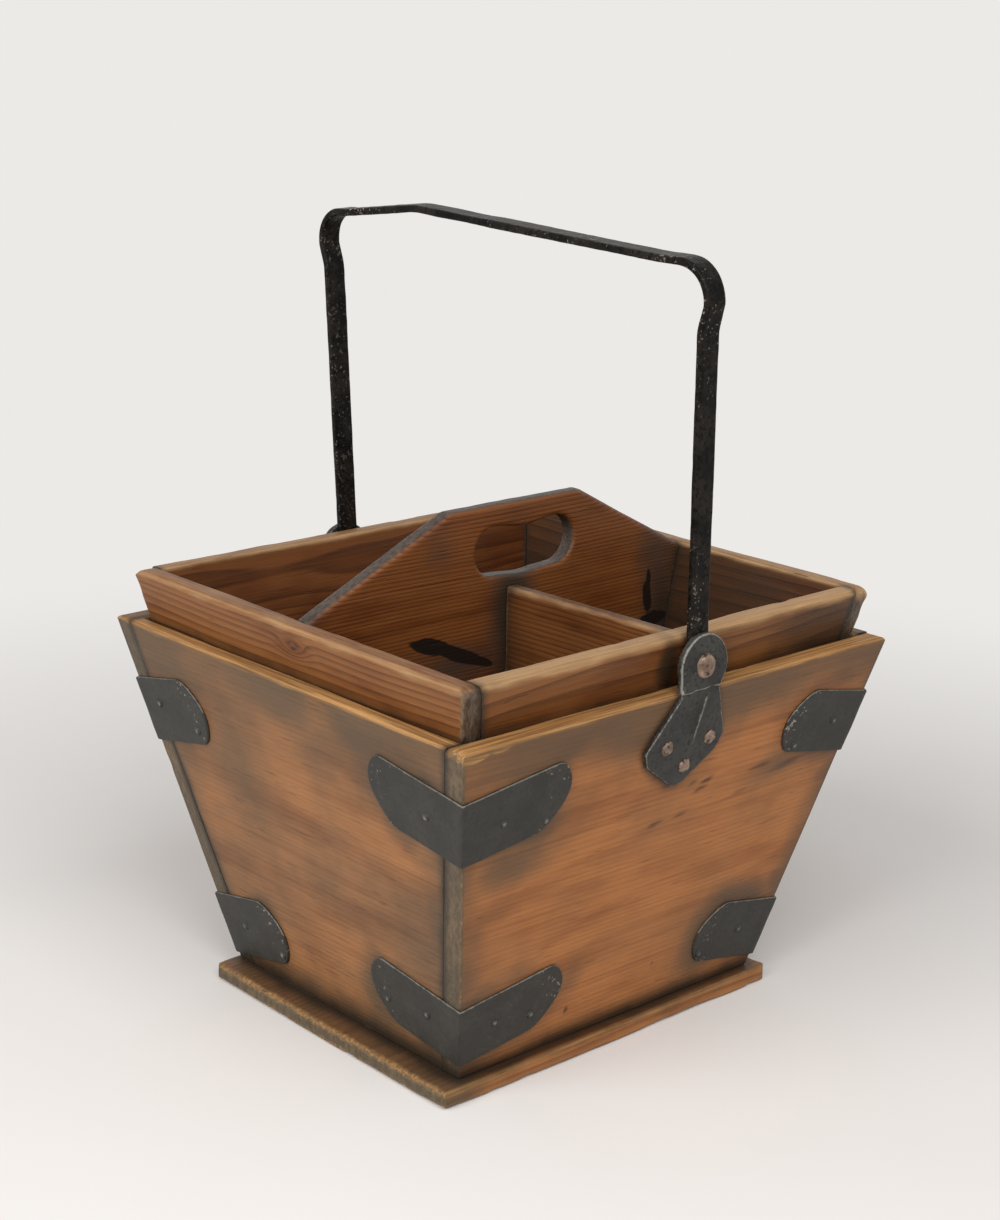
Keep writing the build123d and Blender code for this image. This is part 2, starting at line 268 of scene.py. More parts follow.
# Forged iron: clouded scale, pits and pale specks
def forgeGroup():
    inputs = [("Place", "Vector", None), ("Speck Scale", "Float", 420.0), ("Speck Start", "Float", 0.68)]
    group, given, out = newGroup("forgedScale", inputs, ["Cloud", "Pit", "Speck"])
    place = given["Place"]
    links = group.links.new
    links(noise(group, place, 55.0, 5.0, 0.6), out["Cloud"])
    links(noise(group, place, 330.0, 3.0, 0.55), out["Pit"])
    dots = noise(group, place, given["Speck Scale"], 2.0)
    patch = ramp(group, noise(group, place, 38.0, 2.0), 0.45, 0.7)
    found = calc(group, "ADD", dots, calc(group, "MULTIPLY", patch, 0.08))
    high = calc(group, "ADD", given["Speck Start"], 0.07)
    links(ramp(group, found, given["Speck Start"], high), out["Speck"])
    return group


pineGrain = pineGroup()
brokenMask = breakGroup()
forgedScale = forgeGroup()
print("shared effects built")


def brokenTag(tree, label, place, scale, ragged, start, full):  # a tag on the points, broken up with noise
    sockets = {"Mask": readTag(tree, label), "Place": place, "Scale": scale, "Ragged": ragged,
               "Start": start, "Full": full}
    return useGroup(tree, brokenMask, sockets)["Mask"]


def raysSeen(tree):  # 1 on what the camera, gloss and glass see
    rays = put(tree, "LightPath").outputs
    seen = calc(tree, "MAXIMUM", rays["Is Camera Ray"], rays["Is Glossy Ray"])
    return calc(tree, "MAXIMUM", seen, rays["Is Transmission Ray"])


def newMaterial(name):
    material = bpy.data.materials.new(name)
    material.use_nodes = True
    tree = material.node_tree
    tree.nodes.clear()
    return material, tree


def finishMaterial(tree, colour, roughness, height, bumpDepth, **fixed):
    bump = put(tree, "Bump", {"Strength": 0.6, "Distance": bumpDepth, "Height": height})
    shader = put(tree, "BsdfPrincipled", {"Base Color": colour, "Roughness": roughness})
    tree.links.new(bump.outputs[0], shader.inputs["Normal"])
    for label, value in fixed.items():
        shader.inputs[label.replace("_", " ")].default_value = value
    tree.links.new(shader.outputs[0], put(tree, "OutputMaterial").inputs[0])


def pineMaterial(name, look):
    material, tree = newMaterial(name)
    place = put(tree, "Attribute", attribute_name="grainPlace").outputs["Vector"]
    sockets = {"Place": place, "Ring Size": look["ringSize"], "Wobble": look["wobble"]}
    grain = useGroup(tree, pineGrain, sockets)
    depth = calc(tree, "MULTIPLY", grain["Ring"], look["ringDepth"])
    fibre = calc(tree, "MULTIPLY", calc(tree, "SUBTRACT", grain["Fibre"], 0.5), look["fibreDepth"])
    colour = tint(tree, calc(tree, "ADD", depth, fibre, clamp=True), look["early"], look["late"])
    colour = tint(tree, ramp(tree, grain["Blotch"], 0.44, 0.70), colour, look["blotch"], "MULTIPLY")
    streaks = calc(tree, "MULTIPLY", grain["Streak"], look["streakDepth"])
    colour = tint(tree, streaks, colour, look["streak"], "MULTIPLY")
    flecks = calc(tree, "MULTIPLY", grain["Fleck"], look["fleckDepth"])
    colour = tint(tree, flecks, colour, look["fleck"])
    cut = ramp(tree, noise(tree, stretch(tree, place, 1, 1, 0.35), 330.0, 4.0, 0.65), 0.34, 0.66)
    endTone = tint(tree, cut, look["endDark"], look["end"])
    endGrain = calc(tree, "MULTIPLY", readTag(tree, "endGrain"), look["endDepth"])
    colour = tint(tree, endGrain, colour, endTone)
    # painted shade: inner faces are darkened as the inside of the box and tray
    inner = calc(tree, "MULTIPLY", readTag(tree, "inner"), look["innerDepth"])
    colour = tint(tree, inner, colour, look["inner"], "MULTIPLY")
    smoke = brokenTag(tree, "smoke", place, 24.0, 0.9, 0.05, 1.0)
    smoke = calc(tree, "MULTIPLY", smoke, look["smokeDepth"])
    colour = tint(tree, smoke, colour, look["smoke"], "MULTIPLY")
    colour = tint(tree, calc(tree, "MULTIPLY", smoke, look["dustDepth"]), colour, look["dust"])
    worn = brokenTag(tree, "worn", stretch(tree, place, 0.22, 1, 1), 190.0, look["wornRagged"],
                     look["wornStart"], look["wornFull"])
    wornTone = tint(tree, ramp(tree, grain["Fibre"], 0.3, 0.7), look["wornDark"], look["worn"])
    colour = tint(tree, calc(tree, "MULTIPLY", worn, look["wornDepth"]), colour, wornTone)
    # soot, iron stain and marks, together with painted shade in creases, along the foot and beside the bail
    sootAndShade = brokenTag(tree, "sootAndShade", place, 45.0, 0.6, 0.15, 1.0)
    colour = tint(tree, calc(tree, "MULTIPLY", sootAndShade, look["sootAndShadeDepth"]), colour, look["sootAndShade"])
    colour = tint(tree, brokenTag(tree, "blackMark", place, 110.0, 0.5, 0.38, 0.55), colour, look["blackMark"])
    shine = calc(tree, "ADD", look["roughness"], calc(tree, "MULTIPLY", grain["Fibre"], 0.16))
    shine = calc(tree, "ADD", shine, calc(tree, "MULTIPLY", worn, 0.12), clamp=True)
    height = calc(tree, "ADD", calc(tree, "MULTIPLY", grain["Ring"], 0.35), grain["Fibre"])
    height = calc(tree, "SUBTRACT", height, calc(tree, "MULTIPLY", grain["Fleck"], 0.5))
    height = calc(tree, "ADD", height, calc(tree, "MULTIPLY", endGrain, cut))
    finishMaterial(tree, colour, shine, height, look["bump"], Specular_IOR_Level=look["gloss"])
    return material


def ironMaterial(name, look):
    material, tree = newMaterial(name)
    place = put(tree, "TexCoord").outputs["Object"]
    sockets = {"Place": place, "Speck Scale": look["speckScale"], "Speck Start": look["speckStart"]}
    scale = useGroup(tree, forgedScale, sockets)
    colour = tint(tree, ramp(tree, scale["Cloud"], 0.36, 0.66), look["dark"], look["light"])
    pits = calc(tree, "MULTIPLY", ramp(tree, scale["Pit"], 0.5, 0.34), look["pitDepth"])
    colour = tint(tree, pits, colour, look["pit"])
    speck = calc(tree, "MULTIPLY", scale["Speck"], look["speckDepth"])
    speck = calc(tree, "MULTIPLY", speck, readTag(tree, "specks"))
    colour = tint(tree, speck, colour, look["speck"])
    worn = brokenTag(tree, "worn", place, 300.0, 0.8, look["wornStart"], look["wornFull"])
    colour = tint(tree, calc(tree, "MULTIPLY", worn, look["wornDepth"]), colour, look["worn"])
    shine = calc(tree, "ADD", look["roughness"], calc(tree, "MULTIPLY", scale["Cloud"], 0.25), clamp=True)
    height = calc(tree, "ADD", scale["Pit"], calc(tree, "MULTIPLY", scale["Cloud"], 0.6))
    finishMaterial(tree, colour, shine, height, look["bump"], Metallic=look["metallic"],
                   Specular_IOR_Level=look["gloss"])
    return material


boxLook = {
    "early": (0.41, 0.158, 0.045, 1), "late": (0.22, 0.080, 0.023, 1),
    "ringDepth": 0.45, "fibreDepth": 0.9, "ringSize": 0.0034, "wobble": 0.030,
    "blotch": (0.72, 0.66, 0.62, 1), "fleck": (0.09, 0.035, 0.014, 1), "fleckDepth": 0.5,
    "streak": (0.60, 0.50, 0.44, 1), "streakDepth": 0.55,
    "end": (0.22, 0.155, 0.095, 1), "endDark": (0.095, 0.068, 0.043, 1), "endDepth": 0.92,
    "inner": (0.42, 0.36, 0.32, 1), "innerDepth": 0.8,
    "smoke": (0.34, 0.345, 0.33, 1), "smokeDepth": 1.0, "dust": (0.152, 0.127, 0.084, 1), "dustDepth": 0.28,
    "worn": (0.48, 0.265, 0.098, 1), "wornDark": (0.15, 0.075, 0.027, 1),
    "wornStart": 0.30, "wornFull": 0.85, "wornDepth": 0.85, "wornRagged": 0.8,
    "sootAndShade": (0.026, 0.019, 0.013, 1), "sootAndShadeDepth": 0.92, "blackMark": (0.012, 0.008, 0.006, 1),
    "roughness": 0.36, "bump": 0.0005, "gloss": 0.22,
}
trayLook = dict(
    boxLook, early=(0.225, 0.088, 0.026, 1), late=(0.078, 0.027, 0.008, 1), ringSize=0.0030, wobble=0.022,
    ringDepth=1.0, blotch=(0.66, 0.56, 0.50, 1), inner=(0.54, 0.43, 0.35, 1), roughness=0.32, streakDepth=0.7,
    smoke=(0.36, 0.36, 0.40, 1), dustDepth=0.08,
    worn=(0.43, 0.26, 0.125, 1), wornDark=(0.29, 0.175, 0.085, 1), wornDepth=0.95,
    wornStart=0.12, wornFull=0.95, wornRagged=0.75,
    end=(0.13, 0.098, 0.07, 1), endDark=(0.04, 0.028, 0.02, 1),
)
dividerLook = dict(
    trayLook, early=(0.195, 0.065, 0.016, 1), late=(0.062, 0.018, 0.005, 1), ringSize=0.0024, wobble=0.014,
    inner=(1, 1, 1, 1), smoke=(0.42, 0.50, 0.70, 1), dust=(0.05, 0.045, 0.04, 1), dustDepth=0.5,
    worn=(0.30, 0.24, 0.175, 1), wornDark=(0.10, 0.075, 0.052, 1), wornStart=0.45, wornFull=1.0, wornRagged=0.8,
    end=(0.075, 0.062, 0.051, 1), endDark=(0.034, 0.028, 0.023, 1),
)
baseLook = dict(
    boxLook, early=(0.38, 0.152, 0.046, 1), late=(0.15, 0.055, 0.018, 1), ringSize=0.0042, ringDepth=0.75,
    worn=(0.39, 0.22, 0.085, 1), end=(0.26, 0.185, 0.108, 1), endDark=(0.105, 0.072, 0.042, 1), bump=0.0009,
)
strapLook = {
    "dark": (0.026, 0.0245, 0.021, 1), "light": (0.039, 0.0365, 0.031, 1), "pit": (0.020, 0.019, 0.017, 1),
    "pitDepth": 0.5, "speck": (0.42, 0.37, 0.30, 1), "speckScale": 420.0, "speckStart": 0.67, "speckDepth": 0.6,
    "worn": (0.34, 0.32, 0.28, 1), "wornStart": 0.6, "wornFull": 1.0, "wornDepth": 0.42,
    "roughness": 0.40, "metallic": 0.0, "bump": 0.0002, "gloss": 0.25,
}
handleLook = dict(
    strapLook, dark=(0.0035, 0.0032, 0.0029, 1), light=(0.016, 0.0125, 0.0100, 1), pit=(0.002, 0.0018, 0.0016, 1),
    pitDepth=0.9, speck=(0.24, 0.20, 0.165, 1), speckScale=460.0, speckStart=0.64, speckDepth=0.75,
    worn=(0.05, 0.042, 0.036, 1), wornStart=0.5, wornDepth=0.5, roughness=0.24, bump=0.0008, gloss=0.08,
)
bracketLook = dict(
    strapLook, dark=(0.022, 0.021, 0.019, 1), light=(0.040, 0.038, 0.034, 1), pit=(0.010, 0.009, 0.008, 1),
    pitDepth=0.8, roughness=0.34, bump=0.0005, wornStart=0.5, wornDepth=0.55,
)
rivetLook = dict(
    strapLook, dark=(0.15, 0.098, 0.070, 1), light=(0.38, 0.265, 0.190, 1), pit=(0.030, 0.021, 0.016, 1),
    pitDepth=1.0, speck=(0.50, 0.42, 0.34, 1), worn=(0.42, 0.33, 0.27, 1), metallic=0.3, roughness=0.34,
)
boxPine = pineMaterial("boxPine", boxLook)
leftPine = pineMaterial("leftPine", dict(boxLook, early=(0.32, 0.138, 0.048, 1), late=(0.185, 0.074, 0.026, 1)))
trayPine = pineMaterial("trayPine", trayLook)
dividerPine = pineMaterial("dividerPine", dividerLook)
basePine = pineMaterial("basePine", baseLook)
strapIron = ironMaterial("strapIron", strapLook)
bracketIron = ironMaterial("bracketIron", bracketLook)
handleIron = ironMaterial("handleIron", handleLook)
rivetSteel = ironMaterial("rivetSteel", rivetLook)
print("materials built")


# Boards: a closed grid with rounded, unevenly worn edges, leaning as the CAD board leans

def gridLines(length, step, bend):
    lines = list(np.linspace(0, length, max(2, int(length / step)) + 1))
    for share in (0.12, 0.3, 0.5, 0.75, 1.0, 1.5):
        lines += [share * bend, length - share * bend]
    return np.unique(np.round(np.clip(lines, 0, length), 5))


def boxSurface(xs, ys, zs):
    shape = (len(xs), len(ys), len(zs))
    index = np.indices(shape)
    outside = np.any([(index[a] == 0) | (index[a] == shape[a] - 1) for a in range(3)], axis=0)
    ids = np.full(shape, -1)
    ids[outside] = np.arange(outside.sum())
    i, j, k = (index[a][outside] for a in range(3))
    points = np.stack([xs[i], ys[j], zs[k]], 1)
    faces = []
    for axis in range(3):
        for end in (0, -1):
            sheet = np.take(ids, end, axis)
            corners = [sheet[:-1, :-1], sheet[1:, :-1], sheet[1:, 1:], sheet[:-1, 1:]]
            quads = np.stack(corners, -1).reshape(-1, 4)
            outward = (end == -1) == (axis != 1)
            faces.append(quads if outward else quads[:, ::-1])
    return points, np.concatenate(faces)


def roundEdges(points, size, form):  # rounds the twelve edges and tells how worn each point is
    worn = np.zeros(len(points))
    wave = 1 + form["uneven"] * fieldNoise(points, 28, form["seed"])
    chips = np.clip(fieldNoise(points, 75, form["seed"] + 1) - 0.42, 0, 1) * form["chips"]
    for axis in range(3):
        b, c = [k for k in range(3) if k != axis]
        for i, j in np.ndindex(2, 2):
            radius, strength = form["edges"].get((axis, i, j), (form["plain"], 0.25))
            r = radius * wave + chips * strength
            u = points[:, b] if i == 0 else size[b] - points[:, b]
            v = points[:, c] if j == 0 else size[c] - points[:, c]
            worn = np.maximum(worn, strength * np.clip(1 - np.hypot(u, v) / (1.2 * radius + 0.0015), 0, 1))
            far = np.hypot(r - u, r - v)
            cut = (u < r) & (v < r) & (far > r)
            pull = np.where(cut, r / np.maximum(far, 1e-9), 1)
            u = np.where(cut, r - (r - u) * pull, u)
            v = np.where(cut, r - (r - v) * pull, v)
            points[:, b] = u if i == 0 else size[b] - u
            points[:, c] = v if j == 0 else size[c] - v
    return points, worn


plankForm = {"step": 0.0028, "plain": 0.0007, "uneven": 0.35, "chips": 0.004, "wave": 0.00022,
             "ironReach": 0.032, "ironSoot": 0.3, "ironSmoke": 0.9, "creviceShadeReach": 0.010, "creviceShade": 0.8,
             "haze": 0.0, "topWorn": 0.0, "topClean": 0.85, "rimDarkening": 1.1, "rimReach": 0.040,
             "endDarkening": 0.85, "endReach": 0.022, "footDarkening": 0.5, "footReach": 0.030,
             "footSootAndShadow": 0.95, "footSootAndShadowReach": 0.013, "topDepth": 0.002, "endDepth": 0.003, "innerShare": 0.4}


def spotMask(along, up, spots, edge=3):  # oval marks: place along and up, two radii, strength, turn
    mask = np.zeros(len(along))
    for a, z, wide, tall, strength, turn in spots:
        c, s = math.cos(math.radians(turn)), math.sin(math.radians(turn))
        u, v = along - a, up - z
        gap = np.hypot((u * c + v * s) / wide, (v * c - u * s) / tall)
        mask = np.maximum(mask, strength * np.exp(-gap ** edge))
    return mask


def plank(name, node, form, material, body):
    form = dict(plankForm, **form)
    low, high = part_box(node)
    x0, x1, y0, y1 = footOf(node) if any(form["lean"]) else (low.x, high.x, low.y, high.y)
    tall = high.z - low.z
    a0, a1, b0, b1 = form["lean"]
    mid = tall / 2
    size = np.array([x1 - x0 + (a1 - a0) * leanX * mid, y1 - y0 + (b1 - b0) * leanY * mid, tall])
    widest = max([form["plain"]] + [edge[0] for edge in form["edges"].values()])
    lines = [gridLines(length, form["step"], min(widest, length / 4)) for length in size]
    points, faces = boxSurface(*lines)
    flat = points.copy()
    for axis in range(3):  # broad faces are never quite flat
        side = np.where(flat[:, axis] < 1e-6, 1.0, 0.0) - np.where(flat[:, axis] > size[axis] - 1e-6, 1.0, 0.0)
        points[:, axis] += side * form["wave"] * (1 + fieldNoise(flat, 22, form["seed"] + 5 + axis))
    points, worn = roundEdges(points, size, form)
    rise = points[:, 2]
    share = points / size
    place = np.zeros_like(points)
    place[:, 0] = x0 + a0 * leanX * rise + share[:, 0] * (x1 - x0 + (a1 - a0) * leanX * rise)
    place[:, 1] = y0 + b0 * leanY * rise + share[:, 1] * (y1 - y0 + (b1 - b0) * leanY * rise)
    place[:, 2] = low.z + rise
    along = form["grain"]
    across = [k for k in range(3) if k != along]
    grain = np.stack([place[:, along], flat[:, across[0]], flat[:, across[1]]], 1)
    grain = grain + np.array(form["pith"])
    for alongKnot, upKnot, reach in form.get("knots", []):
        gap = np.hypot((place[:, along] - alongKnot) / 2.2, place[:, 2] - upKnot)
        grain[:, 1] += 1.3 * reach * np.exp(-(gap / reach) ** 2)
    piece = meshPiece(name, place, faces)

    def marks(label, edge=3):
        return spotMask(place[:, along], place[:, 2], form.get(label, []), edge)

    # soot and painted shade: iron stain, the painted shadow at the foot, painted crevice shade and listed marks
    sootAndShade = np.zeros(len(place))
    smoke = marks("smokes", 2)
    ends = np.minimum(flat[:, along], size[along] - flat[:, along])
    if form.get("iron"):
        halo = nearness(place, ironTree, form["ironReach"])
        halo = halo * (0.75 + 0.6 * fieldNoise(place, 30, form["seed"] + 9))
        sootAndShade = form["ironSoot"] * halo ** 3
        smoke = np.maximum(smoke, form["ironSmoke"] * halo ** 1.3)
        rise = place[:, 2] - footHigh
        # painted contact shadow along the foot of the board, with grime
        sootAndShade = np.maximum(sootAndShade, form["footSootAndShadow"] * np.exp(-(rise / form["footSootAndShadowReach"]) ** 1.4))
        # darker towards the rim, the ends and the foot of the board
        dim = form["rimDarkening"] * np.exp(-((tall - rise) / form["rimReach"]) ** 2)
        dim = np.maximum(dim, form["endDarkening"] * np.exp(-(ends / form["endReach"]) ** 1.5))
        dim = np.maximum(dim, form["footDarkening"] * np.exp(-(rise / form["footReach"]) ** 2))
        smoke = np.maximum(smoke, dim * (0.95 + 0.4 * fieldNoise(place, 26, form["seed"] + 12)))
        smoke = np.maximum(smoke, form["haze"] * (1 + 0.7 * fieldNoise(place, 18, form["seed"] + 13)))
    # painted shade: the wood is darkened where it comes close to other parts
    others = treeOf([n for n in nodes if n != node and not n.startswith("strap_")])
    creviceShade = nearness(place, others, form["creviceShadeReach"])
    sootAndShade = np.maximum(sootAndShade, form["creviceShade"] * creviceShade ** 1.5)
    sootAndShade = np.maximum(sootAndShade, marks("stainsAndShadows"))
    # painted shade on the inner face
    inner = np.zeros(len(place))
    if "inside" in form:
        axis, side = form["inside"]
        depth = flat[:, axis] if side == 0 else size[axis] - flat[:, axis]
        inner = 1 - smoothStep(depth, 0.0, form["innerShare"] * size[axis])
    tagPoints(piece, "grainPlace", grain)
    top = smoothStep(flat[:, 2], tall - form["topDepth"], tall - 0.0002)
    smoke = smoke * (1 - form["topClean"] * top * (form["topWorn"] > 0))
    worn = np.maximum(worn, form["topWorn"] * top)
    tagPoints(piece, "worn", np.maximum(worn, marks("pales")))
    tagPoints(piece, "sootAndShade", sootAndShade)
    tagPoints(piece, "smoke", smoke)
    tagPoints(piece, "blackMark", marks("inks"))
    tagPoints(piece, "endGrain", 1 - smoothStep(ends, 0.0002, form["endDepth"]))
    tagPoints(piece, "inner", inner)
    dress(piece, material, body, node)


# Lean tells which way the low x, high x, low y and high y sides move as a board rises
# Inside gives the axis and the low or high side of a board's inner face, which is painted in shade
# Edges are keyed by the axis they run along and the low or high side of the other two axes
boards = {
    "frontBoard": ("front_board", {
        "lean": (-1, 1, -1, -1), "grain": 0, "pith": (0.31, 0.05, -0.33), "seed": 21, "iron": True,
        "inside": (1, 1), "step": 0.0022, "topWorn": 0.8, "haze": 0.25,
        "smokes": [(-0.13, 0.23, 0.06, 0.03, 1.0, 0), (-0.12, 0.16, 0.05, 0.02, 0.8, 5),
                   (0.10, 0.17, 0.04, 0.015, 0.7, 5)],
        "pales": [(-0.168, 0.2400, 0.010, 0.004, 1.3, 0), (-0.150, 0.2410, 0.008, 0.003, 1.1, 0)],
        "stainsAndShadows": [(0.0335, 0.1756, 0.007, 0.0019, 0.85, 12), (0.029, 0.1705, 0.008, 0.0019, 0.8, 12),
                   (0.0208, 0.1767, 0.005, 0.0018, 0.7, 12), (0.017, 0.156, 0.009, 0.002, 0.75, 8),
                   (-0.005, 0.155, 0.010, 0.002, 0.75, 8), (-0.0356, 0.1558, 0.012, 0.003, 0.5, 5),
                   (0.081, 0.1735, 0.013, 0.0022, 0.7, 4), (0.109, 0.169, 0.016, 0.003, 0.7, 6),
                   (0.108, 0.128, 0.013, 0.002, 0.5, 6), (0.069, 0.159, 0.011, 0.002, 0.5, 6),
                   (0.027, 0.044, 0.0018, 0.0018, 0.95, 0), (-0.045, 0.0335, 0.002, 0.003, 0.95, 0)],
        "edges": {(0, 0, 1): (0.0035, 0.9), (0, 1, 1): (0.0035, 0.8), (1, 0, 1): (0.0055, 1.0),
                  (1, 1, 1): (0.0055, 1.0), (2, 0, 0): (0.0014, 0.5), (2, 1, 0): (0.0014, 0.5)}}),
    "backBoard": ("back_board", {
        "lean": (-1, 1, 1, 1), "grain": 0, "pith": (0.83, 0.065, -0.28), "seed": 22, "iron": True,
        "inside": (1, 0),
        "edges": {(0, 0, 1): (0.0035, 0.8), (0, 1, 1): (0.0035, 0.9), (1, 0, 1): (0.003, 1.0),
                  (1, 1, 1): (0.003, 1.0), (2, 0, 1): (0.0014, 0.5), (2, 1, 1): (0.0014, 0.5)}}),
    "leftBoard": ("left_board", {
        "lean": (-1, -1, -1, 1), "grain": 1, "pith": (0.12, 0.06, -0.36), "seed": 23, "iron": True,
        "inside": (0, 1), "step": 0.0022, "topWorn": 0.8,
        "smokes": [(-0.11, 0.21, 0.07, 0.04, 1.0, 0), (0.12, 0.22, 0.05, 0.03, 1.0, 0)],
        "haze": 0.4, "footDarkening": 0.85, "footReach": 0.027,
        "edges": {(1, 0, 1): (0.0035, 1.0), (1, 1, 1): (0.0035, 0.8)}}),
    "rightBoard": ("right_board", {
        "lean": (1, 1, -1, 1), "grain": 1, "pith": (0.55, 0.07, -0.30), "seed": 24, "iron": True,
        "inside": (0, 0),
        "edges": {(1, 0, 1): (0.0035, 0.8), (1, 1, 1): (0.0035, 1.0)}}),
}
for name, (node, form) in boards.items():
    plank(name, node, form, leftPine if name == "leftBoard" else boxPine, "box")

baseEdges = {(axis, i, j): (0.0042, 0.9) for axis in (0, 1) for i in (0, 1) for j in (0, 1)}
baseEdges.update({(2, 0, 0): (0.003, 0.5), (2, 0, 1): (0.007, 0.5),
                  (2, 1, 0): (0.008, 0.4), (2, 1, 1): (0.007, 0.5)})
plank("basePlank", "base_board", {
    "lean": (0, 0, 0, 0), "grain": 0, "pith": (0.4, -0.08, 0.045), "seed": 31, "edges": baseEdges,
    "smokes": [(-0.140, 0.006, 0.024, 0.03, 0.85, 0), (0.146, 0.006, 0.012, 0.03, 1.2, 0)],
    "uneven": 0.45, "creviceShadeReach": 0.020, "creviceShade": 1.1}, basePine, "box")
for side, name, node in ((0, "leftBearer", "tray_bearer_left"), (1, "rightBearer", "tray_bearer_right")):
    sign = 2 * side - 1
    plank(name, node, {
        "lean": (sign, sign, -1, 1), "grain": 1, "pith": (0.2, 0.03, 0.03), "seed": 33 + side,
        "edges": {}}, boxPine, "box")

trayBoards = {
    "trayLeft": ("tray_left", {
        "lean": (-1, -1, -1, 1), "grain": 1, "pith": (0.05, 0.05, -0.035), "seed": 41, "inside": (0, 1),
        "knots": [(-0.006, 0.262, 0.006)], "step": 0.002, "stainsAndShadows": [(-0.006, 0.262, 0.0026, 0.0018, 1.2, 0)],
        "topWorn": 0.32,
        "edges": {(1, 0, 1): (0.006, 0.65), (1, 1, 1): (0.0025, 0.7), (2, 0, 0): (0.003, 0.45),
                  (0, 0, 1): (0.008, 0.45), (0, 1, 1): (0.010, 0.6), (2, 0, 1): (0.003, 0.6)}}),
    "trayRight": ("tray_right", {
        "lean": (1, 1, -1, 1), "grain": 1, "pith": (0.45, 0.055, -0.05), "seed": 42, "inside": (0, 0),
        "topWorn": 0.6, "pales": [(-0.168, 0.262, 0.005, 0.02, 0.8, 0)],
        "smokes": [(0.02, 0.25, 0.15, 0.05, 1.4, 0)],
        "edges": {(1, 1, 1): (0.006, 1.0), (1, 0, 1): (0.0025, 0.9), (2, 1, 0): (0.0018, 0.9),
                  (0, 0, 1): (0.010, 1.0), (0, 1, 1): (0.008, 1.0), (2, 1, 1): (0.0018, 0.9)}}),
    "trayFront": ("tray_front", {
        "lean": (-1, 1, -1, -1), "grain": 0, "pith": (0.7, 0.06, -0.06), "seed": 43, "inside": (1, 1),
        "topWorn": 0.95,
        "smokes": [(0.13, 0.255, 0.060, 0.024, 1.2, 0), (0.035, 0.25, 0.02, 0.02, 0.6, 0)],
        # painted shadow of the bail on the tray front, left of the bar
        "stainsAndShadows": [(-0.008, 0.255, 0.011, 0.024, 0.95, 8)],
        "edges": {(0, 0, 1): (0.006, 1.0), (0, 1, 1): (0.0025, 0.9)}}),
    "trayBack": ("tray_back", {
        "lean": (-1, 1, 1, 1), "grain": 0, "pith": (0.21, 0.05, -0.08), "seed": 44, "inside": (1, 0),
        "topWorn": 0.5,
        "edges": {(0, 1, 1): (0.006, 1.0), (0, 0, 1): (0.0025, 0.9)}}),
    "trayFloor": ("tray_floor", {
        "lean": (-1, 1, -1, 1), "grain": 0, "pith": (0.3, -0.05, 0.04), "seed": 45, "inside": (2, 1),
        "creviceShadeReach": 0.03, "edges": {}}),
}
for name, (node, form) in trayBoards.items():
    plank(name, node, form, trayPine, "tray")
print("boards built")


# Pieces carved from a fine copy of a CAD solid

def fineCopy(name, node, cell, passes):
    piece = bpy.data.objects.new(name, nodes[node].data.copy())
    scene.collection.objects.link(piece)
    grid = piece.modifiers.new("grid", "REMESH")
    grid.mode = "VOXEL"
    grid.voxel_size = cell
    soft = piece.modifiers.new("soft", "SMOOTH")
    soft.factor = 0.5
    soft.iterations = passes
    bpy.context.view_layer.update()
    fine = bpy.data.meshes.new_from_object(piece.evaluated_get(bpy.context.evaluated_depsgraph_get()))
    piece.modifiers.clear()
    piece.data = fine
    fine.name = name
    fine.polygons.foreach_set("use_smooth", np.ones(len(fine.polygons), bool))
    return piece


def sharpness(mesh, cell, spread):  # 1 along the outward edges of a fine mesh
    ends = np.zeros(len(mesh.edges) * 2, np.int32)
    mesh.edges.foreach_get("vertices", ends)
    a, b = ends.reshape(-1, 2).T
    count = np.bincount(a, minlength=len(mesh.vertices)) + np.bincount(b, minlength=len(mesh.vertices))

    def average(values):
        total = np.zeros_like(values)
        np.add.at(total, a, values[b])
        np.add.at(total, b, values[a])
        return total / np.maximum(count, 1).reshape((-1,) + (1,) * (values.ndim - 1))

    points = pointsOf(mesh)
    bend = np.einsum("ij,ij->i", points - average(points), normalsOf(mesh)) / cell
    bend = np.clip(bend * 6, 0, 1)
    for turn in range(spread):
        bend = np.maximum(bend, 1.15 * average(bend))
    return np.clip(bend, 0, 1)


def roughen(mesh, layers, seed):
    points = pointsOf(mesh)
    shift = sum(depth * fieldNoise(points, scale, seed + i) for i, (scale, depth) in enumerate(layers))
    movePoints(mesh, points + normalsOf(mesh) * shift[:, None])


dividerForm = {
    "cell": 0.0011, "passes": 1, "pith": (0.6, 0.05, -0.24), "seed": 51,
    "layers": [(30, 0.00025), (120, 0.00012)], "creviceShadeReach": 0.028, "creviceShade": 0.8, "blackMarkDepth": 0.004,
    "inks": [(-0.062, 0.2425, 0.019, 0.0058, 1.0, -16), (-0.040, 0.2335, 0.024, 0.0050, 1.0, -23),
             (-0.023, 0.2262, 0.014, 0.0032, 0.9, -20), (0.134, 0.2265, 0.016, 0.006, 0.8, 0),
             (0.1275, 0.242, 0.0050, 0.014, 0.8, 6), (0.128, 0.252, 0.0030, 0.012, 0.7, 0)],
    # painted shade in the corner where the divider meets the right wall
    "stainsAndShadows": [(0.142, 0.234, 0.020, 0.030, 0.95, 0)],
    "smokes": [(0.004, 0.255, 0.022, 0.050, 0.9, 0), (0.135, 0.262, 0.020, 0.035, 0.8, 0),
               (-0.04, 0.225, 0.07, 0.016, 0.7, 0), (-0.055, 0.305, 0.016, 0.020, 0.5, 0)],
}


